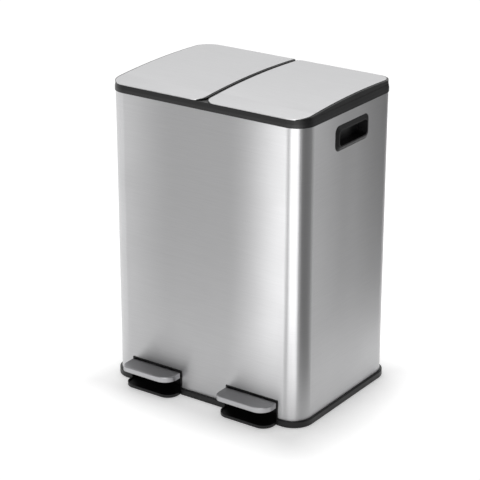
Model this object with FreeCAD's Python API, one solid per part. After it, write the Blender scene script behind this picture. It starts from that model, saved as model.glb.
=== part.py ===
import FreeCAD, Part
import math
import os

# Twin pedal bin for sorting waste: a wrapped steel body on a moulded base, two lift-out buckets side by
# side, and over each bucket an arched lid that its own pedal opens through a lever and a push rod.
# Millimetres. X runs across the front, -Y is the front, +Z is up. Left and right are as seen from the front.
# Pieces are drawn about the middle of the body, then moved back by half the pedals' reach, so that the
# origin lies on the floor under the middle of the whole footprint.

# ---------------------------------------------------------------- body plan
body_width = 460.0            # base ring, side to side
body_depth = 336.0            # base ring, front to back
body_corner = 43.0            # base ring's corner radius in plan
pedal_reach = 39.0            # pedal pads stand this far out in front of the base ring

# ---------------------------------------------------------------- heights
foot_height = 1.5             # gap under the base, held open by the feet
base_ring_top = 14.0          # where the steel stands on the base
collar_bottom = 603.0         # visible lower edge of the collar
collar_height = 15.0          # visible band of the collar

# ---------------------------------------------------------------- steel wrap
steel_inset = 5.0             # steel stands this far inside the base ring
steel_sheet = 0.6
steel_in_collar = 8.5         # how far the sheet runs up into the collar's groove

# ---------------------------------------------------------------- moulded base and deck
base_floor = 3.0
upstand_wall = 3.0
upstand_top = 32.0            # top of the wall that locates the steel from inside
fit_gap = 0.3                 # clearance between moulded parts that slip together
deck_top = 61.0               # the buckets stand on this deck
deck_plate = 3.0
deck_skirt = 3.0
deck_post_radius = 7.0
deck_post_side = 40.0         # outer posts, in from the base ring's sides
deck_post_middle = 30.0       # middle posts, either side of the middle
deck_post_ends = (78.0, 68.0)  # middle posts, in from the base ring's front and back
deck_post_y = 60.0            # outer posts, behind the middle

# ---------------------------------------------------------------- feet
foot_radius = 11.0
foot_recess = 1.2             # the foot's root sits this deep in the base floor
foot_inset = 40.0             # foot centres, from the base ring's sides

# ---------------------------------------------------------------- collar
collar_inset = 3.5            # collar's face stands this far inside the base ring
collar_draft = 1.5            # the band's upper part leans in by this much
collar_straight = 7.0         # the band's lower part is upright over this height
collar_plate = 6.0
collar_skirt = 2.5            # inner wall that drops down inside the steel
collar_skirt_drop = 13.0      # inner wall's lower edge, under the visible band
mouth_inner_x = 9.0           # mouth's edge beside the middle bar
mouth_side = 30.0             # mouth's edges, in from the base ring's side, front and back
mouth_front = 18.0
mouth_back = 52.0
mouth_corner = 22.0
bar_rib = 8.0                 # stiffening rib under the middle bar

# ---------------------------------------------------------------- buckets and their bails
bucket_gap = 2.0              # all round, between the bucket's rim and the mouth
bucket_rim_width = 5.0
bucket_draft = 8.0            # each side leans in by this much from rim to floor
bucket_wall = 2.0
bucket_rim_drop = 28.0        # bucket's rim, under the collar's top
bucket_rim_thick = 2.5
bucket_rim_lip = 9.0          # turned-down edge of the rim
bucket_corner = 14.0
bucket_lift = 0.3             # bucket floor above the deck
bail_wire = 4.0
bail_ear = 3.0
bail_ear_width = 14.0
bail_ear_height = 8.0
bail_bend = 20.0
bail_edge = 3.5               # wire's centre line, in from the rim's outer edge
bail_stub = 8.0               # turned-in end of the wire

# ---------------------------------------------------------------- side grips
grip_length = 118.0
grip_height = 50.0
grip_corner = 13.0
grip_centre_y = 5.0
grip_drop = 46.5              # grip's centre, under the collar's lower edge
grip_border = 10.0
grip_proud = 4.0              # the grip's inner lip stands this far out of the steel
grip_pocket = 20.0            # pocket depth behind the steel's face
grip_wall = 2.0
grip_lip = 2.5                # flat land round the pocket's mouth
grip_seat = 3.0               # the lip covers this much of the steel round its hole

# ---------------------------------------------------------------- pedals
pad_width = 120.0
pad_top = 48.0
pad_height = 11.0
pad_left_corner = 15.0        # both pads are tight at the front left and wide at the front right
pad_right_corner = 28.0
pad_back_corner = 4.0
pad_edge_round = 2.2
cap_sheet = 1.2
core_recess = 0.6             # the plastic core ends this far above the cap's lower edge
pad_back_gap = 0.7            # pad's back, ahead of the guard's face
pad_top_gap = 0.8

# ---------------------------------------------------------------- pedal guards
guard_wall = 2.4
guard_side = 1.0              # guard's frame stands out this far beside the pad
guard_depth = 30.0            # frame's depth behind the steel's face
guard_proud = 1.5
guard_tray_reach = 37.0       # floor tray in front of the steel's face
guard_tray_width = 120.0
guard_tray_corner = 24.0
guard_tray_lip = 3.0          # lip's height over the tray's floor
guard_slot_width = 46.0
guard_slot_bottom = 9.0
guard_flange = 18.0           # screwed flange behind the guard

# ---------------------------------------------------------------- pedal levers
pivot_back = 108.0            # axle, behind the base ring's front
pivot_z = 18.0
axle_radius = 4.0
axle_overhang = 4.0
sleeve_radius = 7.5
sleeve_length = 36.0
running_gap = 0.1             # radial, between the axle and the lever's sleeve
lever_width = 24.0
lever_thick = 4.0
lever_under_pad = 27.0        # lever's front end, in front of the steel's face
lever_bend = 60.0             # first bend, ahead of the axle
lever_low = 18.0              # second bend, ahead of the axle
lever_low_top = 28.0
lever_end = 23.6              # wide part's end, ahead of the push rod
lever_back_top = 18.0
tongue_thick = 5.0
tongue_height = 12.0
bracket_thick = 3.0
bracket_width = 24.0
bracket_gap = 1.0             # between the lever's sleeve and each bracket
bracket_foot = 15.0

# ---------------------------------------------------------------- push rods
rod_radius = 3.0
rod_offset_x = 6.0            # rod stands beside the crank
rod_back = 36.4               # rod's line, in from the base ring's back
link_plate = 3.0              # flat ends of the rod
link_wall = 4.0               # metal left round each slot
link_play = 0.9               # slot's play, up and down
lever_pin_radius = 3.0
lever_pin_z = 15.0
lever_pin_ahead = 1.3         # lever's pin at rest, behind the rod's line
crank_pin_radius = 2.5
pin_overhang = 1.5
guide_width = 18.0
guide_height = 16.0
guide_front = 8.0             # guide's front, ahead of the rod's line
guide_bore_gap = 0.3
guide_low_z = 290.0
guide_drop = 43.0             # upper guide's foot, under the collar's lower edge

# ---------------------------------------------------------------- lids
lid_gap = 4.0                 # between the two lids
lid_lift = 0.6                # lid's lower edge over the collar
lid_front_inset = 0.5         # lid's front edge, behind the collar's upper edge
lid_side_inset = 0.0
lid_back_inset = 2.6
lid_crest = 12.0              # top of the arch over the collar
lid_crest_y = 34.0
lid_arch_radius = 2000.0
lid_outer_corner = 37.0
lid_inner_corner = 24.0
lid_back_corner = 9.0
skin_sheet = 0.6
skin_inset = 4.0              # skin's edge, in from the frame's edge at sides and back
skin_overhang = 2.5           # skin runs this far over the platform that carries it
rim_drop = 1.0                # frame's rim under the skin's top
lid_plate_drop = 5.5          # underside of the frame's plate under the skin's top
lid_wall = 2.5
lid_open_deg = 75.0
back_trim = 3.4               # frame's rear wall ends this far above the lid's lower edge

# ---------------------------------------------------------------- lid hinges and cranks
hinge_back = 6.0              # pin line, in front of the collar's back face
hinge_height = 3.8            # pin line above the collar's top
hinge_spacing = 140.0
knuckle_radius = 3.3
knuckle_width = 14.0
lid_knuckle_width = 8.0
knuckle_gap = 0.5
hinge_pin_radius = 2.0
hinge_running_gap = 0.06
knuckle_clear = 0.5           # round the collar's knuckles, in the lid
crank_radius = 30.0
crank_thick = 5.0
crank_flange_width = 22.0
crank_flange_thick = 2.3
crank_eye = 6.0
crank_front = 26.0            # flange ahead of the crank's pin
crank_slot_gap = 1.5

# ---------------------------------------------------------------- fasteners and bumpers
screw_radius = 1.6
screw_head_radius = 3.4
screw_head = 1.2
screw_length = 9.0
screw_hole_gap = 0.1
back_screw_side = 80.0        # in from the base ring's sides
back_screw_low_z = 23.0
back_screw_drop = 6.5         # upper screws, under the collar's lower edge
guard_screw_x = 44.0
bumper_radius = 4.0
bumper_depth = 2.0
bumper_proud = 0.3
bumper_front = 11.0           # behind the base ring's front
bumper_middle = 32.0          # inner bumper, from the middle
bumper_side = 48.0            # outer bumper, in from the base ring's side
lid_screw_x = 7.0             # either side of the crank's web
lid_screw_bite = 3.0          # depth in the lid's plate
pad_screws_ahead = (21.0, 8.0)  # in front of the steel's face

# ---------------------------------------------------------------- worked-out places
vec = FreeCAD.Vector
half_width = body_width / 2
half_depth = body_depth / 2
footprint_shift = pedal_reach / 2
steel_front = -half_depth + steel_inset
steel_back = half_depth - steel_inset
steel_side = half_width - steel_inset
inner_back = steel_back - steel_sheet
pedal_x = half_width / 2
mouth_outer_x = half_width - mouth_side
mouth_front_y = -half_depth + mouth_front
mouth_back_y = half_depth - mouth_back
rod_y = half_depth - rod_back
pivot_y = -half_depth + pivot_back
back_screw_x = half_width - back_screw_side
floor_top = foot_height + base_floor
collar_top = collar_bottom + collar_height
collar_skirt_bottom = collar_bottom - collar_skirt_drop
bucket_rim_top = collar_top - bucket_rim_drop
grip_centre_z = collar_bottom - grip_drop
guide_places = (guide_low_z, collar_bottom - guide_drop)
back_screw_high_z = collar_bottom - back_screw_drop
collar_back = half_depth - collar_inset
pad_front = -half_depth - pedal_reach
pad_bottom = pad_top - pad_height
pad_back = steel_front - guard_proud - pad_back_gap
guard_width = pad_width + 2 * guard_side
guard_top = pad_top + pad_top_gap + guard_wall
guard_back = steel_front + guard_depth
guard_screw_y = guard_back + guard_flange / 2
hinge_y = collar_back - hinge_back
hinge_z = collar_top + hinge_height
crank_drop = math.radians(lid_open_deg / 2)
crank_pin_y = hinge_y - crank_radius * math.cos(crank_drop)
crank_pin_z = hinge_z - crank_radius * math.sin(crank_drop)
crank_back = hinge_y - knuckle_radius - lid_wall
lever_pin_y = rod_y + lever_pin_ahead
lever_top = pad_bottom + 2 * core_recess
lever_front_y = steel_front - lever_under_pad
lever_back_y = rod_y - lever_end
pad_screw_y = [steel_front - ahead for ahead in pad_screws_ahead]
bumper_y = -half_depth + bumper_front
bumper_places = ((bumper_middle, bumper_y), (half_width - bumper_side, bumper_y))
mouth_x = (mouth_inner_x + mouth_outer_x) / 2
mouth_y = (mouth_front_y + mouth_back_y) / 2
bucket_half_x = (mouth_outer_x - mouth_inner_x) / 2 - bucket_gap
bucket_half_y = (mouth_back_y - mouth_front_y) / 2 - bucket_gap
lid_outer = half_width - collar_inset - collar_draft - lid_side_inset
lid_front = -half_depth + collar_inset + collar_draft - lid_front_inset
lid_back = collar_back - lid_back_inset
lid_bottom = collar_top + lid_lift
lid_x = (lid_gap / 2 + lid_outer) / 2
big = 1000.0


def box(x0, x1, y0, y1, z0, z1):
    return Part.makeBox(x1 - x0, y1 - y0, z1 - z0, vec(x0, y0, z0))


def rod_x(radius, x0, x1, y, z):
    return Part.makeCylinder(radius, x1 - x0, vec(x0, y, z), vec(1, 0, 0))


def rod_y_way(radius, y0, y1, x, z):
    return Part.makeCylinder(radius, y1 - y0, vec(x, y0, z), vec(0, 1, 0))


def rod_z(radius, z0, z1, x, y):
    return Part.makeCylinder(radius, z1 - z0, vec(x, y, z0))


def outline(x0, x1, y0, y1, corners, z):
    """Rectangle with rounded corners: front left, front right, back right, back left."""
    centres = ((x0, y0, 1, 1, 180), (x1, y0, -1, 1, 270), (x1, y1, -1, -1, 0), (x0, y1, 1, -1, 90))
    arcs = []
    for (cx, cy, dx, dy, start), radius in zip(centres, corners):
        middle = vec(cx + dx * radius, cy + dy * radius, z)
        points = []
        for step in (0, 45, 90):
            angle = math.radians(start + step)
            points.append(middle + vec(radius * math.cos(angle), radius * math.sin(angle), 0))
        arcs.append(points)
    edges = []
    for index, points in enumerate(arcs):
        edges.append(Part.Arc(*points).toShape())
        following = arcs[(index + 1) % len(arcs)][0]
        if points[2].distanceToPoint(following) > 0.001:
            edges.append(Part.LineSegment(points[2], following).toShape())
    return Part.Wire(edges)


def prism(x0, x1, y0, y1, corners, z0, z1):
    return Part.Face(outline(x0, x1, y0, y1, corners, z0)).extrude(vec(0, 0, z1 - z0))


def body_prism(inset, z0, z1):
    """The body's plan, drawn in by the inset, between two heights."""
    corner = body_corner - inset
    return prism(-half_width + inset, half_width - inset, -half_depth + inset, half_depth - inset,
                 (corner,) * 4, z0, z1)


def body_taper(inset0, z0, inset1, z1):
    """The body's plan with one inset at the bottom and another at the top."""
    wires = []
    for inset, z in ((inset0, z0), (inset1, z1)):
        corner = body_corner - inset
        wires.append(outline(-half_width + inset, half_width - inset, -half_depth + inset, half_depth - inset,
                             (corner,) * 4, z))
    return Part.makeLoft(wires, True, True)


def joined(first, *others):
    shape = first
    for other in others:
        shape = shape.fuse(other)
    return shape.removeSplitter()


def less(shape, *tools):
    for tool in tools:
        shape = shape.cut(tool)
    return shape


def mirrored(shape):
    return shape.mirror(vec(0, 0, 0), vec(1, 0, 0))


def group(shapes):
    return Part.makeCompound(shapes)


def rounded_top(shape, z, radius):
    """Rounds the edges that lie in the level plane z."""
    edges = []
    for edge in shape.Edges:
        if max(abs(edge.BoundBox.ZMin - z), abs(edge.BoundBox.ZMax - z)) < 0.01:
            edges.append(edge)
    return shape.makeFillet(radius, edges)


def save(shape, name):
    solids = []
    for solid in shape.Solids:
        moved = solid.copy()
        moved.translate(vec(0, footprint_shift, 0))
        solids.append(moved)
    result = solids[0] if len(solids) == 1 else Part.makeCompound(solids)
    if not result.isValid():
        raise RuntimeError(name + " is not a valid solid")
    result.exportStep(os.path.join("parts", name + ".step"))
    size = result.BoundBox
    print("%-22s %2d solid(s) %9.1f cm3" % (name, len(solids), result.Volume / 1000),
          " x %7.1f %7.1f  y %7.1f %7.1f" % (size.XMin, size.XMax, size.YMin, size.YMax),
          " z %6.1f %6.1f" % (size.ZMin, size.ZMax))


def save_pair(shape, name):
    save(mirrored(shape), name + "_left")
    save(shape, name + "_right")


def save_twins(shape, name):
    """The right-hand pedal's piece, used again as it is for the left-hand pedal."""
    twin = shape.copy()
    twin.translate(vec(-2 * pedal_x, 0, 0))
    save(twin, name + "_left")
    save(shape, name + "_right")


def screw_up(x, y, z, length):
    """Pan-head screw driven upwards, its head's seat at height z."""
    head = rod_z(screw_head_radius, z - screw_head, z, x, y)
    return joined(head, rod_z(screw_radius, z - screw_head, z + length, x, y))


def screw_down(x, y, z, length):
    """The same screw driven downwards."""
    head = rod_z(screw_head_radius, z, z + screw_head, x, y)
    return joined(head, rod_z(screw_radius, z - length, z + screw_head, x, y))


# ---------------------------------------------------------------- steel wrap
def guard_hole(gap, z0):
    """Space that the right-hand guard's frame takes in the front."""
    half = guard_width / 2 + gap
    return box(pedal_x - half, pedal_x + half, -big, guard_back + gap, z0, guard_top + gap)


def grip_opening(border, x0, x1):
    """Rounded block in the side's plane, the grip's outline drawn in by the border."""
    flat = prism(-grip_length / 2 + border, grip_length / 2 - border,
                 -grip_height / 2 + border, grip_height / 2 - border,
                 (max(grip_corner - border / 2, 1.0),) * 4, 0, x1 - x0)
    flat.rotate(vec(0, 0, 0), vec(1, 0, 0), 90)
    flat.rotate(vec(0, 0, 0), vec(0, 0, 1), 90)
    flat.translate(vec(x0, grip_centre_y, grip_centre_z))
    return flat


def back_screw_holes(radius):
    holes = []
    for z in (back_screw_low_z, back_screw_high_z):
        for x in (-back_screw_x, back_screw_x):
            holes.append(rod_y_way(radius, inner_back - screw_length, half_depth, x, z))
    return holes


def make_outer_shell():
    top = collar_bottom + steel_in_collar
    shell = less(body_prism(steel_inset, base_ring_top, top), body_prism(steel_inset + steel_sheet, 0, big))
    grip_hole = grip_opening(grip_seat, steel_side - grip_pocket, half_width)
    pedal_hole = guard_hole(fit_gap, 0)
    shell = less(shell, grip_hole, mirrored(grip_hole), pedal_hole, mirrored(pedal_hole))
    return less(shell, *back_screw_holes(screw_radius + screw_hole_gap))


# ---------------------------------------------------------------- moulded base
def deck_post_places():
    places = []
    for side in (-1, 1):
        places.append((side * (half_width - deck_post_side), deck_post_y))
        places.append((side * deck_post_middle, -half_depth + deck_post_ends[0]))
        places.append((side * deck_post_middle, half_depth - deck_post_ends[1]))
    return places


def make_base_tray():
    ring = body_taper(0, foot_height, 0, base_ring_top - steel_inset / 4)
    ledge = body_taper(0, base_ring_top - steel_inset / 4, steel_inset / 4, base_ring_top)
    wall_outer = steel_inset + steel_sheet + fit_gap
    upstand = body_prism(wall_outer, foot_height, upstand_top)
    hollow = body_prism(wall_outer + upstand_wall, floor_top, big)
    tray = less(joined(ring, ledge, upstand), hollow)
    notch = guard_hole(fit_gap, 0)
    tray = less(tray, notch, mirrored(notch))
    for x, y in deck_post_places():
        tray = less(tray, rod_z(screw_radius + screw_hole_gap, 0, floor_top, x, y))
    for face, screw, side in bracket_places():
        tray = less(tray, rod_z(screw_radius + screw_hole_gap, 0, floor_top, screw, pivot_y))
    for x in (pedal_x - guard_screw_x, pedal_x + guard_screw_x):
        hole = rod_z(screw_radius + screw_hole_gap, 0, floor_top, x, guard_screw_y)
        tray = less(tray, hole, mirrored(hole))
    for x, y in foot_places():
        tray = less(tray, rod_z(foot_radius, 0, foot_height + foot_recess, x, y))
    return less(tray, *back_screw_holes(screw_radius + screw_hole_gap))


def foot_places():
    x = half_width - foot_inset
    y = half_depth - foot_inset
    return ((-x, -y), (0, -y), (x, -y), (-x, y), (0, y), (x, y))


def make_rubber_feet():
    feet = []
    for x, y in foot_places():
        feet.append(rod_z(foot_radius, 0, foot_height + foot_recess, x, y))
    return group(feet)


def make_bucket_deck():
    inset = steel_inset + steel_sheet + fit_gap
    room = body_prism(inset + deck_skirt, 0, deck_top - deck_plate)
    deck = less(body_prism(inset, upstand_top, deck_top), room)
    notch = guard_hole(fit_gap, 0)
    deck = less(deck, notch, mirrored(notch))
    for x, y in deck_post_places():
        deck = joined(deck, rod_z(deck_post_radius, floor_top, deck_top - deck_plate / 2, x, y))
        deck = less(deck, rod_z(screw_radius + screw_hole_gap, 0, floor_top + screw_length, x, y))
    half = link_half_length() + crank_slot_gap
    rod_hole = box(pedal_x - tongue_thick / 2 - crank_slot_gap,
                   pedal_x + rod_offset_x + rod_radius + crank_slot_gap, rod_y - half, rod_y + half, 0, big)
    return less(deck, rod_hole, mirrored(rod_hole))


def make_deck_screws():
    screws = []
    for x, y in deck_post_places():
        screws.append(screw_up(x, y, foot_height, base_floor + screw_length / 2))
    return group(screws)


# ---------------------------------------------------------------- collar
def mouth(inset, z0, z1):
    corner = mouth_corner - inset
    return prism(mouth_inner_x + inset, mouth_outer_x - inset, mouth_front_y + inset, mouth_back_y - inset,
                 (corner / 2, corner, corner, corner / 2), z0, z1)


def crank_slot():
    """Slot in the rear shelf that the crank, its pin and the rod's flat end pass through."""
    reach = crank_radius + crank_eye + crank_slot_gap
    return box(pedal_x - crank_thick / 2 - crank_slot_gap,
               pedal_x + rod_offset_x + rod_radius + crank_slot_gap,
               hinge_y - reach, crank_back + fit_gap, 0, big)


def hinge_centres():
    return (lid_x - hinge_spacing / 2, lid_x + hinge_spacing / 2)


def knuckle(x0, x1, foot_z):
    """Hinge knuckle with a straight foot that reaches down or up to foot_z."""
    barrel = rod_x(knuckle_radius, x0, x1, hinge_y, hinge_z)
    z0, z1 = sorted((foot_z, hinge_z))
    foot = box(x0, x1, hinge_y - knuckle_radius, hinge_y + knuckle_radius, z0, z1)
    return joined(barrel, foot)


def make_top_collar():
    band = body_prism(collar_inset, collar_bottom, collar_bottom + collar_straight)
    lean = body_taper(collar_inset, collar_bottom + collar_straight, collar_inset + collar_draft, collar_top)
    steel_out = steel_inset - fit_gap
    steel_in = steel_inset + steel_sheet + fit_gap
    groove_top = collar_bottom + steel_in_collar + fit_gap
    groove = less(body_prism(steel_out, 0, groove_top), body_prism(steel_in, 0, big))
    skirt = body_prism(steel_in, collar_skirt_bottom, collar_top - collar_plate / 2)
    hollow = body_prism(steel_in + collar_skirt, 0, collar_top - collar_plate)
    collar = less(joined(band, lean, skirt), hollow, groove)
    opening = mouth(0, 0, big)
    collar = less(collar, opening, mirrored(opening))
    rib = box(-bar_rib / 2, bar_rib / 2, steel_front + steel_in, inner_back - collar_skirt,
              collar_skirt_bottom, collar_top - collar_plate / 2)
    collar = joined(collar, rib)
    slot = crank_slot()
    collar = less(collar, slot, mirrored(slot))
    for centre in hinge_centres():
        lug = knuckle(centre - knuckle_width / 2, centre + knuckle_width / 2, collar_top - collar_plate / 2)
        collar = joined(collar, lug, mirrored(lug))
        bore = rod_x(hinge_pin_radius, centre - knuckle_width, centre + knuckle_width, hinge_y, hinge_z)
        collar = less(collar, bore, mirrored(bore))
    for x, y in bumper_places:
        recess = rod_z(bumper_radius, collar_top - bumper_depth, big, x, y)
        collar = less(collar, recess, mirrored(recess))
    return less(collar, *back_screw_holes(screw_radius + screw_hole_gap))


def make_lid_bumpers():
    bumpers = []
    for x, y in bumper_places:
        bumpers.append(rod_z(bumper_radius, collar_top - bumper_depth, collar_top + bumper_proud, x, y))
        bumpers.append(mirrored(bumpers[-1]))
    return group(bumpers)


def make_hinge_pins():
    pins = []
    half = knuckle_width / 2 + knuckle_gap + lid_knuckle_width
    for centre in hinge_centres():
        pins.append(rod_x(hinge_pin_radius, centre - half, centre + half, hinge_y, hinge_z))
        pins.append(mirrored(pins[-1]))
    return group(pins)


def make_back_screws():
    screws = []
    for z in (back_screw_low_z, back_screw_high_z):
        for x in (-back_screw_x, back_screw_x):
            head = rod_y_way(screw_head_radius, steel_back, steel_back + screw_head, x, z)
            shank = rod_y_way(screw_radius, steel_back - screw_length / 2, steel_back + screw_head, x, z)
            screws.append(joined(head, shank))
    return group(screws)


# ---------------------------------------------------------------- side grips
def make_side_grip():
    wires = []
    for border, x in ((0, steel_side), (grip_border - grip_lip, steel_side + grip_proud)):
        face = grip_opening(border, x, x + 1).Faces
        flat = min(face, key=lambda item: item.CenterOfMass.x)
        wires.append(flat.OuterWire)
    bezel = Part.makeLoft(wires, True, True)
    housing = grip_opening(grip_border - grip_wall, steel_side - grip_pocket, steel_side + grip_proud / 2)
    pocket = grip_opening(grip_border, steel_side - grip_pocket + grip_wall, half_width)
    return less(joined(bezel, housing), pocket)


# ---------------------------------------------------------------- buckets
def bucket_plan(inset, z):
    corner = bucket_corner + bucket_rim_width - inset
    return outline(mouth_x - bucket_half_x + inset, mouth_x + bucket_half_x - inset,
                   mouth_y - bucket_half_y + inset, mouth_y + bucket_half_y - inset, (corner,) * 4, z)


def bucket_slab(inset, z0, z1):
    return Part.Face(bucket_plan(inset, z0)).extrude(vec(0, 0, z1 - z0))


def bail_half_x():
    return bucket_half_x - bail_edge


def bail_z():
    return bucket_rim_top + bail_wire / 2 + fit_gap


def make_bucket():
    low = deck_top + bucket_lift
    outer = Part.makeLoft([bucket_plan(bucket_rim_width + bucket_draft, low),
                           bucket_plan(bucket_rim_width, bucket_rim_top)], True, True)
    inside = Part.makeLoft([bucket_plan(bucket_rim_width + bucket_draft + bucket_wall, low + bucket_wall),
                            bucket_plan(bucket_rim_width + bucket_wall, bucket_rim_top + 1)], True, True)
    lip = bucket_slab(0, bucket_rim_top - bucket_rim_lip, bucket_rim_top)
    under = less(bucket_slab(bucket_wall, bucket_rim_top - bucket_rim_lip, bucket_rim_top - bucket_rim_thick),
                 bucket_slab(bucket_rim_width + bucket_wall / 2, 0, big))
    bucket = less(joined(outer, less(lip, under)), inside)
    ear_x = bail_half_x() - bail_wire / 2 - fit_gap
    for side in (-1, 1):
        x0 = mouth_x + side * ear_x
        x1 = x0 - side * bail_ear
        ear = box(min(x0, x1), max(x0, x1), mouth_y - bail_ear_width / 2, mouth_y + bail_ear_width / 2,
                  bucket_rim_top - bucket_rim_thick, bucket_rim_top + bail_ear_height)
        bucket = joined(bucket, ear)
    left, right = mouth_x - bucket_half_x, mouth_x + bucket_half_x
    return less(bucket, rod_x(bail_wire / 2 + running_gap, left, right, mouth_y, bail_z()))


def make_bail():
    """Bent wire, folded back so that it lies over the rim."""
    half = bail_half_x()
    back = mouth_y + bucket_half_y - bail_edge
    z = bail_z()
    bend = bail_wire / 2 + fit_gap
    corner = math.sqrt(0.5)
    points = []
    for side in (-1, 1):
        x = mouth_x + side * half
        points.append((vec(x - side * bail_stub, mouth_y, z), vec(x - side * bend, mouth_y, z),
                       vec(x - side * bend * (1 - corner), mouth_y + bend * (1 - corner), z),
                       vec(x, mouth_y + bend, z), vec(x, back - bail_bend, z),
                       vec(x - side * bail_bend * (1 - corner), back - bail_bend * (1 - corner), z),
                       vec(x - side * bail_bend, back, z)))
    left, right = points
    edges = []
    for run in (left, right):
        edges.append(Part.LineSegment(run[0], run[1]).toShape())
        edges.append(Part.Arc(run[1], run[2], run[3]).toShape())
        edges.append(Part.LineSegment(run[3], run[4]).toShape())
        edges.append(Part.Arc(run[4], run[5], run[6]).toShape())
    edges.append(Part.LineSegment(left[6], right[6]).toShape())
    path = Part.Wire(Part.__sortEdges__(edges))
    circle = Part.Wire(Part.makeCircle(bail_wire / 2, left[0], vec(1, 0, 0)))
    return path.makePipeShell([circle], True, False)


# ---------------------------------------------------------------- pedals
def pad_plan(inset, z0, z1):
    back = pad_back_corner - inset
    half = pad_width / 2 - inset
    return prism(pedal_x - half, pedal_x + half, pad_front + inset, pad_back - inset,
                 (pad_left_corner - inset, pad_right_corner - inset, back, back), z0, z1)


def make_pedal_cap():
    """Steel sheet pressed over the core, open underneath, with a notch at the back for the lever."""
    cap = rounded_top(pad_plan(0, pad_bottom, pad_top), pad_top, pad_edge_round)
    half = lever_width / 2 + fit_gap
    notch = box(pedal_x - half, pedal_x + half, pad_back - 2 * cap_sheet, 0, 0, lever_top + fit_gap)
    return less(cap, pad_plan(cap_sheet, 0, pad_top - cap_sheet), notch)


def make_pedal_core():
    core = pad_plan(cap_sheet, pad_bottom + core_recess, pad_top - cap_sheet)
    recess = box(pedal_x - lever_width / 2, pedal_x + lever_width / 2, lever_front_y, 0, 0, lever_top)
    core = less(core, recess)
    screw_tip = lever_top - lever_thick + screw_length
    for y in pad_screw_y:
        core = less(core, rod_z(screw_radius + screw_hole_gap, 0, screw_tip + screw_hole_gap, pedal_x, y))
    return core


def make_pedal_lever():
    top = ((lever_front_y, lever_top), (pivot_y - lever_bend, lever_top),
           (pivot_y - lever_low, lever_low_top), (lever_back_y, lever_back_top))
    points = [vec(0, y, z) for y, z in top]
    points += [vec(0, y, z - lever_thick) for y, z in reversed(top)]
    face = Part.Face(Part.makePolygon(points + [points[0]]))
    bar = face.extrude(vec(lever_width, 0, 0))
    bar.translate(vec(pedal_x - lever_width / 2, 0, 0))
    half = tongue_thick / 2
    reach = tongue_height / 2
    tongue = box(pedal_x - half, pedal_x + half, lever_back_y - tongue_height, lever_pin_y + reach,
                 lever_pin_z - reach, lever_pin_z + reach)
    sleeve = rod_x(sleeve_radius, pedal_x - sleeve_length / 2, pedal_x + sleeve_length / 2, pivot_y, pivot_z)
    pin = rod_x(lever_pin_radius, pedal_x, link_outside(), lever_pin_y, lever_pin_z)
    lever = joined(bar, tongue, sleeve, pin)
    lever = less(lever, rod_x(axle_radius + running_gap, 0, big, pivot_y, pivot_z))
    for y in pad_screw_y:
        lever = less(lever, rod_z(screw_radius + screw_hole_gap, 0, pad_top, pedal_x, y))
    return lever


def make_pedal_screws():
    seat = lever_top - lever_thick
    return group([screw_up(pedal_x, y, seat, screw_length) for y in pad_screw_y])


# ---------------------------------------------------------------- pedal guards
def make_pedal_guard():
    half = guard_width / 2
    frame = box(pedal_x - half, pedal_x + half, steel_front - guard_proud, guard_back, foot_height, guard_top)
    inner = half - guard_wall
    pocket = box(pedal_x - inner, pedal_x + inner, -big, guard_back - guard_wall,
                 floor_top, guard_top - guard_wall)
    tray_half = guard_tray_width / 2
    tray_front = steel_front - guard_tray_reach
    corner = guard_tray_corner
    square = guard_wall / 2
    tray_back = steel_front + guard_wall
    tray = prism(pedal_x - tray_half, pedal_x + tray_half, tray_front, tray_back,
                 (corner, corner, square, square), foot_height, floor_top + guard_tray_lip)
    inside = prism(pedal_x - tray_half + guard_wall, pedal_x + tray_half - guard_wall,
                   tray_front + guard_wall, tray_back + guard_wall,
                   (corner - guard_wall, corner - guard_wall, square, square), floor_top, big)
    flange = box(pedal_x - half, pedal_x + half, guard_back - guard_wall, guard_back + guard_flange,
                 floor_top, floor_top + guard_wall)
    guard = joined(less(frame, pocket), less(tray, inside), flange)
    slot = box(pedal_x - guard_slot_width / 2, pedal_x + guard_slot_width / 2,
               guard_back - 2 * guard_wall, big, guard_slot_bottom, guard_top - guard_wall)
    guard = less(guard, slot)
    for x in (pedal_x - guard_screw_x, pedal_x + guard_screw_x):
        guard = less(guard, rod_z(screw_radius + screw_hole_gap, 0, guard_slot_bottom, x, guard_screw_y))
    return guard


def make_guard_screws():
    screws = []
    for x in (pedal_x - guard_screw_x, pedal_x + guard_screw_x):
        screws.append(screw_down(x, guard_screw_y, floor_top + guard_wall, base_floor + guard_wall / 2))
        screws.append(mirrored(screws[-1]))
    return group(screws)


# ---------------------------------------------------------------- axle and brackets
def bracket_places():
    """For each bracket: its plate's inner face and its screw, both along X, and which way its foot points."""
    reach = sleeve_length / 2 + bracket_gap
    places = []
    for pedal in (-pedal_x, pedal_x):
        for side in (-1, 1):
            places.append((pedal + side * reach, pedal + side * (reach + bracket_foot * 0.6), side))
    return places


def make_pedal_axle():
    half = pedal_x + sleeve_length / 2 + bracket_gap + bracket_thick + axle_overhang
    return rod_x(axle_radius, -half, half, pivot_y, pivot_z)


def make_axle_brackets():
    brackets = []
    half = bracket_width / 2
    for face, screw, side in bracket_places():
        x0, x1 = sorted((face, face + side * bracket_thick))
        plate = box(x0, x1, pivot_y - half, pivot_y + half, floor_top, pivot_z)
        crown = rod_x(half, x0, x1, pivot_y, pivot_z)
        f0, f1 = sorted((face, face + side * bracket_foot))
        foot = box(f0, f1, pivot_y - half, pivot_y + half, floor_top, floor_top + bracket_thick)
        below = box(x0, x1, pivot_y - half, pivot_y + half, floor_top, big)
        bracket = joined(plate, crown.common(below), foot)
        bore = rod_x(axle_radius + running_gap, -big, big, pivot_y, pivot_z)
        hole = rod_z(screw_radius + screw_hole_gap, 0, pivot_z, screw, pivot_y)
        brackets.append(less(bracket, bore.common(bracket), hole.common(foot)))
    return group(brackets)


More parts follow.
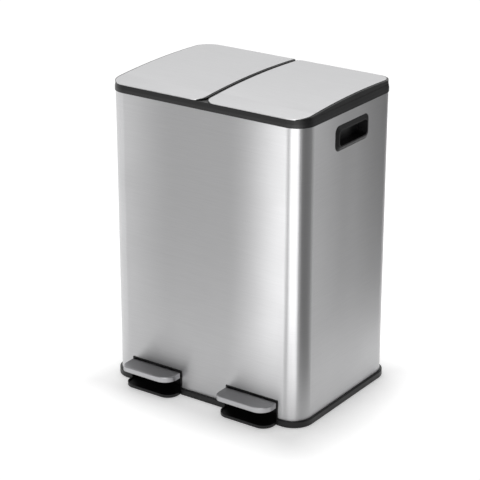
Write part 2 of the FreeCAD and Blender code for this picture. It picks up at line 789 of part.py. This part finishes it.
def make_bracket_screws():
    screws = []
    for face, screw, side in bracket_places():
        screws.append(screw_down(screw, pivot_y, floor_top + bracket_thick, base_floor + bracket_thick / 2))
    return group(screws)


# ---------------------------------------------------------------- push rods
def crank_swing():
    """How far the crank's pin strays from its upright path, front to back."""
    return crank_radius * (1 - math.cos(crank_drop))


def link_half_length():
    return crank_swing() / 2 + crank_pin_radius + link_play / 2 + link_wall


def link_inside():
    return pedal_x + rod_offset_x - link_plate / 2


def link_outside():
    return pedal_x + rod_offset_x + link_plate / 2 + pin_overhang


def rod_link(pin_radius, z):
    """Flat end of the rod with a level slot for a pin."""
    half_y = link_half_length()
    half_z = pin_radius + link_play + link_wall
    x0 = link_inside()
    plate = box(x0, x0 + link_plate, rod_y - half_y, rod_y + half_y, z - half_z, z + half_z)
    slot_y = half_y - link_wall
    slot_z = pin_radius + link_play
    slot = box(x0 - 1, x0 + link_plate + 1, rod_y - slot_y, rod_y + slot_y, z - slot_z, z + slot_z)
    return less(plate, slot)


def make_push_rod():
    low = lever_pin_z + lever_pin_radius + link_play
    high = crank_pin_z - crank_pin_radius - link_play
    stem = rod_z(rod_radius, low + link_wall / 2, high - link_wall / 2, pedal_x + rod_offset_x, rod_y)
    return joined(stem, rod_link(lever_pin_radius, lever_pin_z), rod_link(crank_pin_radius, crank_pin_z))


def make_rod_guides():
    guides = []
    x = pedal_x + rod_offset_x
    for z in guide_places:
        block = box(x - guide_width / 2, x + guide_width / 2, rod_y - guide_front, inner_back,
                    z, z + guide_height)
        guide = less(block, rod_z(rod_radius + guide_bore_gap, 0, big, x, rod_y))
        guides.append(guide)
        guides.append(mirrored(guide))
    return group(guides)


# ---------------------------------------------------------------- lids
def lid_plan(front, side, back, z0, z1):
    """The right-hand lid's plan, drawn in by its own amount at the front, the sides and the back."""
    outer = lid_outer_corner - side
    corners = (lid_inner_corner - side, outer, outer, lid_back_corner - side)
    return prism(lid_gap / 2 + side, lid_outer - side, lid_front + front, lid_back - back, corners, z0, z1)


def under_arch(drop):
    """Everything below the lid's arch, lowered by the drop."""
    radius = lid_arch_radius - drop
    centre_z = collar_top + lid_crest - lid_arch_radius
    reach = body_depth
    edge_z = centre_z + math.sqrt(radius ** 2 - reach ** 2)
    ends = [vec(0, lid_crest_y + side * reach, edge_z) for side in (-1, 1)]
    crown = Part.Arc(ends[0], vec(0, lid_crest_y, centre_z + radius), ends[1]).toShape()
    floor = [vec(0, lid_crest_y + side * reach, collar_bottom) for side in (1, -1)]
    sides = [Part.LineSegment(ends[1], floor[0]).toShape(), Part.LineSegment(floor[0], floor[1]).toShape(),
             Part.LineSegment(floor[1], ends[0]).toShape()]
    face = Part.Face(Part.Wire([crown] + sides))
    return face.extrude(vec(half_width, 0, 0))


def make_lid_skin():
    """Steel sheet, open at its sides and back, with a lip turned down at the front."""
    sheet = lid_plan(0, skin_inset, skin_inset, lid_bottom, big).common(under_arch(0))
    beside = skin_inset - 2 * skin_sheet
    room = prism(lid_gap / 2 + beside, lid_outer - beside, lid_front + skin_sheet, half_depth,
                 (lid_inner_corner, lid_outer_corner, skin_inset, skin_inset), collar_bottom, big)
    return less(sheet, room.common(under_arch(skin_sheet)))


def lid_knuckles():
    shapes = []
    for centre in hinge_centres():
        for side in (-1, 1):
            near = centre + side * (knuckle_width / 2 + knuckle_gap)
            x0, x1 = sorted((near, near + side * lid_knuckle_width))
            shapes.append(knuckle(x0, x1, hinge_z + hinge_pin_radius))
    return shapes


def along_arch(shape, y):
    """Swings what was drawn at the arch's crest round the arch's centre, until it stands at y."""
    centre_z = collar_top + lid_crest - lid_arch_radius
    swung = shape.copy()
    angle = math.degrees(math.asin((y - lid_crest_y) / lid_arch_radius))
    swung.rotate(vec(0, lid_crest_y, centre_z), vec(-1, 0, 0), angle)
    return swung


def lid_screw_holes(depth):
    seat = collar_top + lid_crest - lid_plate_drop
    holes = []
    for side in (-1, 1):
        hole = rod_z(screw_radius + screw_hole_gap, seat - lid_plate_drop, seat + depth,
                     pedal_x + side * lid_screw_x, lid_crest_y)
        holes.append(along_arch(hole, rod_y))
    return holes


def make_lid_frame(skin):
    rim = lid_plan(skin_sheet, 0, 0, lid_bottom, big).common(under_arch(rim_drop))
    deck = lid_plan(skin_sheet, skin_inset + skin_overhang, skin_inset + skin_overhang, lid_bottom, big)
    deck = deck.common(under_arch(skin_sheet))
    room = lid_plan(lid_wall, lid_wall, lid_wall, collar_bottom, big).common(under_arch(lid_plate_drop))
    frame = less(joined(rim, deck), room)
    frame = less(frame, box(0, half_width, hinge_y - knuckle_radius, half_depth, 0, lid_bottom + back_trim))
    for centre in hinge_centres():
        half = knuckle_width / 2 + knuckle_gap
        reach = knuckle_radius + knuckle_clear
        notch = box(centre - half, centre + half, hinge_y - reach, half_depth, 0, hinge_z + reach)
        frame = less(frame, notch)
    frame = joined(frame, *lid_knuckles())
    frame = less(frame, rod_x(hinge_pin_radius + hinge_running_gap, 0, half_width, hinge_y, hinge_z), skin)
    return less(frame, *lid_screw_holes(lid_screw_bite + screw_hole_gap))


def make_lid_crank():
    """Steel bracket under the lid: a curved flange against the lid's plate, a web, and the push rod's pin."""
    half = crank_flange_width / 2
    flange = box(pedal_x - half, pedal_x + half, crank_pin_y - crank_front, crank_back, collar_top, big)
    flange = less(flange.common(under_arch(lid_plate_drop)), under_arch(lid_plate_drop + crank_flange_thick))
    web_half = crank_thick / 2
    web_front = crank_pin_y - crank_front / 2
    profile = ((web_front, big), (crank_back, big), (crank_back, lid_bottom),
               (crank_pin_y + crank_eye, crank_pin_z), (crank_pin_y - crank_eye, crank_pin_z),
               (web_front, lid_bottom), (web_front, big))
    side = Part.makePolygon([vec(0, y, z) for y, z in profile])
    web = Part.Face(side).extrude(vec(crank_thick, 0, 0))
    web.translate(vec(pedal_x - web_half, 0, 0))
    web = web.common(under_arch(lid_plate_drop))
    eye = rod_x(crank_eye, pedal_x - web_half, pedal_x + web_half, crank_pin_y, crank_pin_z)
    pin = rod_x(crank_pin_radius, pedal_x, link_outside(), crank_pin_y, crank_pin_z)
    return less(joined(flange, web, eye, pin), *lid_screw_holes(lid_screw_bite))


def make_lid_screws():
    hollow = screw_head_radius ** 2 / lid_arch_radius
    seat = collar_top + lid_crest - lid_plate_drop - crank_flange_thick - hollow
    screws = []
    for side in (-1, 1):
        screw = screw_up(pedal_x + side * lid_screw_x, lid_crest_y, seat, crank_flange_thick + lid_screw_bite)
        screws.append(along_arch(screw, rod_y))
    return group(screws)


# ---------------------------------------------------------------- the whole bin
os.makedirs("parts", exist_ok=True)

save(make_outer_shell(), "outer_shell")
save(make_base_tray(), "base_tray")
save(make_rubber_feet(), "rubber_feet")
save(make_bucket_deck(), "bucket_deck")
save(make_deck_screws(), "deck_screws")
save(make_top_collar(), "top_collar")
save(make_lid_bumpers(), "lid_bumpers")
save(make_hinge_pins(), "hinge_pins")
save(make_back_screws(), "back_screws")
save(make_pedal_axle(), "pedal_axle")
save(make_axle_brackets(), "axle_brackets")
save(make_bracket_screws(), "bracket_screws")
save(make_guard_screws(), "guard_screws")
save(make_rod_guides(), "rod_guides")
save_pair(make_side_grip(), "side_grip")
save_pair(make_bucket(), "bucket")
save_pair(make_bail(), "bucket_bail")
save_pair(make_pedal_guard(), "pedal_guard")
save_twins(make_pedal_cap(), "pedal_cap")
save_twins(make_pedal_core(), "pedal_core")
save_pair(make_pedal_lever(), "pedal_lever")
save_pair(make_pedal_screws(), "pedal_screws")
save_pair(make_push_rod(), "push_rod")

lid_skin = make_lid_skin()
save_pair(lid_skin, "lid_skin")
save_pair(make_lid_frame(lid_skin), "lid_frame")
save_pair(make_lid_crank(), "lid_crank")
save_pair(make_lid_screws(), "lid_screws")
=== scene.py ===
import math

import bpy
from mathutils import Euler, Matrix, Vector

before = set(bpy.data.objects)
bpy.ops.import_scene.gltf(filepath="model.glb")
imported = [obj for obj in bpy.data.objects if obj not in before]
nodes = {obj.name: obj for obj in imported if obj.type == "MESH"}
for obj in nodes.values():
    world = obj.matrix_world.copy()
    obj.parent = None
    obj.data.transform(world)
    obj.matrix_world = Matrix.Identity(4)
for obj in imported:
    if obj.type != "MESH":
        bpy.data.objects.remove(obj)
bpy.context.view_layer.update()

# ---------------------------------------------------------------- steel wrap of the body
# One sheet of ferritic stainless steel, bent round the body and joined at the back. It is brushed round
# the body in level lines and coated against finger marks, which leaves a soft, level grain: reflections
# are drawn out up and down and stay fairly crisp from side to side.


def linear(hex_colour):
    """sRGB hex to the linear colour that the shaders take."""
    channels = [int(hex_colour[i:i + 2], 16) / 255 for i in (1, 3, 5)]
    return tuple(c / 12.92 if c <= 0.04045 else ((c + 0.055) / 1.055) ** 2.4 for c in channels) + (1.0,)


def node(tree, kind, links=None, **settings):
    """Adds a node, sets its properties, and sets or links its input sockets by name or number."""
    made = tree.nodes.new(kind)
    for name, value in settings.items():
        setattr(made, name, value)
    for socket, value in (links or {}).items():
        target = made.inputs[socket]
        if isinstance(value, bpy.types.NodeSocket):
            tree.links.new(value, target)
        else:
            target.default_value = value
    return made


def new_material(name):
    material = bpy.data.materials.new(name)
    material.use_nodes = True
    material.node_tree.nodes.clear()
    return material, material.node_tree


def surface_out(tree, shader):
    node(tree, "ShaderNodeOutputMaterial", {"Surface": shader.outputs[0]})


def dress(names, material):
    """Gives a piece's CAD nodes their finish."""
    for name in names:
        mesh = nodes[name].data
        mesh.materials.clear()
        mesh.materials.append(material)


def smooth(obj, angle_deg):
    """Smooth shading up to the given edge angle."""
    mesh = obj.data
    if "custom_normal" in mesh.attributes:
        mesh.attributes.remove(mesh.attributes["custom_normal"])
    for polygon in mesh.polygons:
        polygon.use_smooth = True
    mesh.set_sharp_from_angle(angle=math.radians(angle_deg))


def calc(tree, operation, first, second=0.0, clamp=False):
    """One step of arithmetic between sockets or plain numbers."""
    step = node(tree, "ShaderNodeMath", {0: first, 1: second}, operation=operation, use_clamp=clamp)
    return step.outputs[0]


def noise(tree, place, scale, detail, roughness=0.5):
    """Noise between 0 and 1. scale: cells per metre."""
    made = node(tree, "ShaderNodeTexNoise", {"Vector": place, "Scale": scale, "Detail": detail,
                                             "Roughness": roughness})
    return made.outputs[0]


def spread(tree, value, low, high, start=0.3, end=0.7):
    """Maps a value that runs from start to end onto low to high."""
    made = node(tree, "ShaderNodeMapRange", {"Value": value, "From Min": start, "From Max": end,
                                             "To Min": low, "To Max": high})
    return made.outputs[0]


def tinted(tree, value, colour, darkest, palest):
    """Varies a colour between two shares of itself, by a value between 0 and 1."""
    ends = [tuple(min(c * share, 1) for c in linear(colour)[:3]) for share in (darkest, palest)]
    made = node(tree, "ShaderNodeMapRange", {"Vector": value, 9: ends[0], 10: ends[1]},
                data_type="FLOAT_VECTOR")
    return made.outputs[1]


def brushed_steel(name, stretch, tangent_axis, colour, rough, anisotropy, bow=None):
    """Brushed stainless steel. stretch: grain size in metres along X, Y and Z. anisotropy: how strongly the
    brush lines draw reflections out. bow: height of a slow bulge."""
    material, tree = new_material(name)
    place = node(tree, "ShaderNodeTexCoord").outputs["Object"]
    scale = tuple(1 / size for size in stretch)
    fine = node(tree, "ShaderNodeMapping", {"Vector": place, "Scale": scale}).outputs[0]
    grain = noise(tree, fine, 1.0, 4.0, 0.6)
    cloud = noise(tree, place, 9.0, 3.0)
    tone = node(tree, "ShaderNodeValToRGB", {"Fac": grain})
    base = linear(colour)
    for end, position, share in zip(tone.color_ramp.elements, (0.3, 0.72), (0.965, 1.035)):
        end.position = position
        end.color = tuple(min(c * share, 1) for c in base[:3]) + (1,)
    haze = spread(tree, cloud, rough - 0.015, rough + 0.02)
    bump = node(tree, "ShaderNodeBump", {"Height": grain, "Strength": 0.06, "Distance": 0.0002})
    if bow:
        swell = node(tree, "ShaderNodeBump", {"Height": bow(tree, place), "Strength": 1.0, "Distance": 1.0})
        tree.links.new(swell.outputs[0], bump.inputs["Normal"])
    tangent = node(tree, "ShaderNodeTangent", direction_type="RADIAL", axis=tangent_axis)
    steel = node(tree, "ShaderNodeBsdfPrincipled", {
        "Base Color": tone.outputs[0], "Metallic": 1.0, "Roughness": haze,
        "Anisotropic": anisotropy, "Anisotropic Rotation": 0.25,
        "Normal": bump.outputs[0], "Tangent": tangent.outputs[0]})
    surface_out(tree, steel)
    return material


# Across the front (X) and along the sides (Y), in metres: the panel's middle, half its flat part, the width
# over which it falls away beyond that, and how far it falls.
front_fall = (0, 0.0, 0.060, 0.165, 0.013)
side_fall = (1, 0.0195, 0.020, 0.145, 0.007)


def panel_bow(tree, place):
    """The sheet eases into its corners: each flat panel falls away slowly over its last hand's width."""
    axes = node(tree, "ShaderNodeSeparateXYZ", {"Vector": place}).outputs
    fall = 0.0
    for axis, middle, flat, width, drop in (front_fall, side_fall):
        off = calc(tree, "ABSOLUTE", calc(tree, "SUBTRACT", axes[axis], middle))
        share = calc(tree, "MAXIMUM", calc(tree, "DIVIDE", calc(tree, "SUBTRACT", off, flat), width))
        fall = calc(tree, "ADD", fall, calc(tree, "MULTIPLY", calc(tree, "POWER", share, 2.0), drop))
    return calc(tree, "MULTIPLY", fall, -1.0)


wrap_steel = brushed_steel("brushed_ferritic_stainless_wrap", (0.06, 0.06, 0.0011), "Z", "#C9C9CA", 0.38, 0.9,
                           panel_bow)
dress(["outer_shell"], wrap_steel)
smooth(nodes["outer_shell"], 30)

# ---------------------------------------------------------------- base, collar, guards, lid frames
# Black polypropylene mouldings with a fine spark-eroded texture. They show a low satin sheen on their
# rounded edges and stay near black elsewhere.


def moulded_plastic(name, colour, rough, grain_mm, depth):
    material, tree = new_material(name)
    place = node(tree, "ShaderNodeTexCoord").outputs["Object"]
    grain = noise(tree, place, 1000 / grain_mm, 2.0, 0.6)
    flow = noise(tree, place, 14.0, 2.0)
    satin = spread(tree, flow, rough - 0.04, rough + 0.05)
    bump = node(tree, "ShaderNodeBump", {"Height": grain, "Strength": depth, "Distance": 0.0002})
    plastic = node(tree, "ShaderNodeBsdfPrincipled", {
        "Base Color": tinted(tree, grain, colour, 0.85, 1.15), "Roughness": satin, "IOR": 1.45,
        "Normal": bump.outputs[0]})
    surface_out(tree, plastic)
    return material


black_moulding = moulded_plastic("black_polypropylene_moulding", "#0D0D0E", 0.4, 0.9, 0.2)
mouldings = ["base_tray", "top_collar", "bucket_deck", "rod_guides"]
for side in ("left", "right"):
    mouldings += [kind + side for kind in ("pedal_guard_", "lid_frame_", "side_grip_", "pedal_core_")]
dress(mouldings, black_moulding)
for name in mouldings:
    smooth(nodes[name], 30)

# ---------------------------------------------------------------- lids
# The same steel, pressed to a low arch over the frame, with a lip turned down at the front. The coating is a
# little milkier here, and the grain runs across the lid.
# Its colour is set a shade darker than the wrap's, which paints shade onto the lids' upward faces.
lid_steel_painted_darker = brushed_steel("brushed_stainless_lid_painted_darker", (0.05, 0.0011, 0.05), "Y", "#C2C2C3", 0.42, 0.3)
for side in ("left", "right"):
    dress(["lid_skin_" + side], lid_steel_painted_darker)
    smooth(nodes["lid_skin_" + side], 30)

# ---------------------------------------------------------------- pedals
# Steel caps pressed over the black cores, brushed across the pedal.
pedal_steel = brushed_steel("brushed_stainless_pedal", (0.03, 0.0009, 0.0009), "Y", "#B0B0B2", 0.29, 0.4)
for side in ("left", "right"):
    dress(["pedal_cap_" + side], pedal_steel)
    smooth(nodes["pedal_cap_" + side], 40)

# ---------------------------------------------------------------- buckets
# Injection-moulded dark grey polypropylene, matt. Their wire bails are zinc-plated, as the fixings are.
bucket_grey = moulded_plastic("dark_grey_polypropylene_bucket", "#4A4B4D", 0.5, 1.1, 0.2)
for side in ("left", "right"):
    dress(["bucket_" + side], bucket_grey)
    smooth(nodes["bucket_" + side], 30)

# ---------------------------------------------------------------- linkage, fixings and bails
# Zinc-plated mild steel, dull and pale: levers, rods, cranks, pins, brackets, screws and the bails.


def zinc_plate(name, colour, rough):
    """Zinc plating with the faint spangle that it gets in the bath."""
    material, tree = new_material(name)
    place = node(tree, "ShaderNodeTexCoord").outputs["Object"]
    spangle = node(tree, "ShaderNodeTexVoronoi", {"Vector": place, "Scale": 350.0}).outputs
    haze = spread(tree, spangle["Distance"], rough - 0.05, rough + 0.08, 0.0, 0.8)
    tint = tinted(tree, spangle["Color"], colour, 0.9, 1.06)
    plated = node(tree, "ShaderNodeBsdfPrincipled", {"Base Color": tint, "Metallic": 1.0, "Roughness": haze})
    surface_out(tree, plated)
    return material


zinc = zinc_plate("zinc_plated_steel", "#B9BCC0", 0.35)
fixings = ["deck_screws", "back_screws", "bracket_screws", "guard_screws",
           "pedal_axle", "axle_brackets", "hinge_pins"]
for side in ("left", "right"):
    fixings += [kind + side for kind in ("pedal_screws_", "lid_screws_", "pedal_lever_", "push_rod_",
                                         "lid_crank_", "bucket_bail_")]
dress(fixings, zinc)
for name in fixings:
    smooth(nodes[name], 35)

# ---------------------------------------------------------------- feet and bumpers
# Moulded black rubber, dull and slightly dusty.
rubber = moulded_plastic("black_rubber", "#1E1E1F", 0.75, 0.7, 0.3)
dress(["rubber_feet", "lid_bumpers"], rubber)

# ---------------------------------------------------------------- floor and studio
# A white acrylic sheet on the floor, which takes the soft shadow. For camera, glossy and transmission rays it
# also glows;
# the glow is weaker at the bin's foot and grows outward until it is as white as the page, which paints shade
# round the bin.
sheet_left, sheet_right, sheet_front, sheet_back = -1.4, 0.36, -0.45, 1.8
footprint_half = (0.23, 0.187)
# Painted shade: the floor's glow is dimmer at the bin's foot and rises to full white over this reach.
painted_shade_reach = 0.11
painted_shade_glow_at_foot, glow_far = 0.36, 0.68
floor_mesh = bpy.data.meshes.new("studio_floor")
floor_corners = [(sheet_left, sheet_front, 0), (sheet_right, sheet_front, 0), (sheet_right, sheet_back, 0),
                 (sheet_left, sheet_back, 0)]
floor_mesh.from_pydata(floor_corners, [], [(0, 1, 2, 3)])
floor = bpy.data.objects.new("studio_floor", floor_mesh)
bpy.context.scene.collection.objects.link(floor)
acrylic, tree = new_material("white_glowing_acrylic_painted_shade")
place = node(tree, "ShaderNodeTexCoord").outputs["Object"]
axes = node(tree, "ShaderNodeSeparateXYZ", {"Vector": place}).outputs
squares = []
for axis, half in enumerate(footprint_half):
    beyond = calc(tree, "MAXIMUM", calc(tree, "SUBTRACT", calc(tree, "ABSOLUTE", axes[axis]), half))
    squares.append(calc(tree, "MULTIPLY", beyond, beyond))
away = calc(tree, "SQRT", calc(tree, "ADD", *squares))
# The glow ramps from the dim painted shade at the bin's foot up to full white away from it.
glow_with_painted_shade = spread(tree, away, painted_shade_glow_at_foot, glow_far, 0.0, painted_shade_reach)
paths = node(tree, "ShaderNodeLightPath").outputs
seen = calc(tree, "ADD", paths["Is Camera Ray"], paths["Is Glossy Ray"])
seen = calc(tree, "ADD", seen, paths["Is Transmission Ray"], clamp=True)
fibre = node(tree, "ShaderNodeTexNoise", {"Scale": 900.0, "Detail": 2.0}).outputs[0]
matt = node(tree, "ShaderNodeBsdfDiffuse", {"Color": spread(tree, fibre, 0.78, 0.84, 0.0, 1.0)})
glow = node(tree, "ShaderNodeEmission", {"Color": (1, 1, 1, 1),
                                         "Strength": calc(tree, "MULTIPLY", seen, glow_with_painted_shade)})
surface_out(tree, node(tree, "ShaderNodeAddShader", {0: matt.outputs[0], 1: glow.outputs[0]}))
floor_mesh.materials.append(acrylic)

# The studio room round it, told by compass direction in degrees from the front (-Y) over the right (+X), with
# the brightness there: white walls at the left and the back, a dim front, two tall window-like screens and a
# black drape at the right. In front of the bin the room is darker above the horizon.
back_seam = ((-180, 0.2), (-172, 0.25))
left_wall = ((-164, 1.0), (-54, 1.3))
dim_front = ((-42, 0.56), (-30, 0.54))
narrow_screen = ((-22, 2.7), (-12, 2.4), (-6, 0.8), (1, 0.7))
wide_screen = ((14, 3.0), (50, 2.6))
black_drape = ((56, 0.5), (61, 0.9), (67, 0.3), (124, 0.24))
back_right = ((134, 0.95), (145, 0.6), (153, 0.22), (180, 0.10))
room_peak = 3.0
ceiling_share = 0.68
world = bpy.data.worlds.new("studio_room")
bpy.context.scene.world = world
world.use_nodes = True
tree = world.node_tree
tree.nodes.clear()
direction = node(tree, "ShaderNodeTexCoord").outputs["Generated"]
way = node(tree, "ShaderNodeSeparateXYZ", {"Vector": direction}).outputs
compass = calc(tree, "ARCTAN2", way[0], calc(tree, "MULTIPLY", way[1], -1.0))
turn = calc(tree, "ADD", calc(tree, "DIVIDE", compass, math.tau), 0.5)
walls = node(tree, "ShaderNodeValToRGB", {"Fac": turn})
ramp = walls.color_ramp.elements
room = back_seam + left_wall + dim_front + narrow_screen + wide_screen + black_drape + back_right
for index, (angle, level) in enumerate(room):
    spot = ramp[index] if index < 2 else ramp.new(1.0)
    spot.position = (angle + 180) / 360
    spot.color = (level / room_peak,) * 3 + (1,)
above = spread(tree, way[2], 0.0, 1.0, -0.1, 0.25)
ahead = spread(tree, way[1], 0.0, 1.0, 0.35, -0.1)
dark = calc(tree, "MULTIPLY", calc(tree, "MULTIPLY", above, ahead), ceiling_share)
strength = calc(tree, "MULTIPLY", calc(tree, "SUBTRACT", 1.0, dark), room_peak)
light = node(tree, "ShaderNodeBackground", {"Color": walls.outputs[0], "Strength": strength})
node(tree, "ShaderNodeOutputWorld", {"Surface": light.outputs[0]})

# One large softbox overhead, aimed at the bin's middle.
softbox = bpy.data.lights.new("overhead_softbox", "AREA")
softbox.shape = "RECTANGLE"
softbox.size = softbox.size_y = 1.8
softbox.energy = 14
lamp = bpy.data.objects.new("overhead_softbox", softbox)
bpy.context.scene.collection.objects.link(lamp)
lamp.location = (-0.3, 0.4, 2.4)
lamp.rotation_euler = (Vector((0, 0, 0.3)) - lamp.location).to_track_quat("-Z", "Y").to_euler()

# ---------------------------------------------------------------- camera
# Long lens from the front right, a little above the bin.
image_px = 480
lens_px = 1788.57
sensor_mm = 36
distance = 3.5429
azimuth, elevation, roll = math.radians(35.0), math.radians(21.434), math.radians(0.06)
target = Vector((-0.0076, -0.0088, 0.2979))
back = Vector((math.sin(azimuth) * math.cos(elevation), -math.cos(azimuth) * math.cos(elevation),
               math.sin(elevation)))
camera_data = bpy.data.cameras.new("camera")
camera_data.sensor_width = sensor_mm
camera_data.sensor_fit = "HORIZONTAL"
camera_data.lens = sensor_mm * lens_px / image_px
camera_data.clip_end = 60
camera = bpy.data.objects.new("camera", camera_data)
bpy.context.scene.collection.objects.link(camera)
camera.location = target + back * distance
looking = back.to_track_quat("Z", "Y").to_matrix() @ Euler((0, 0, roll)).to_matrix()
camera.rotation_euler = looking.to_euler()
bpy.context.scene.camera = camera

bpy.context.scene.view_settings.view_transform = "Standard"
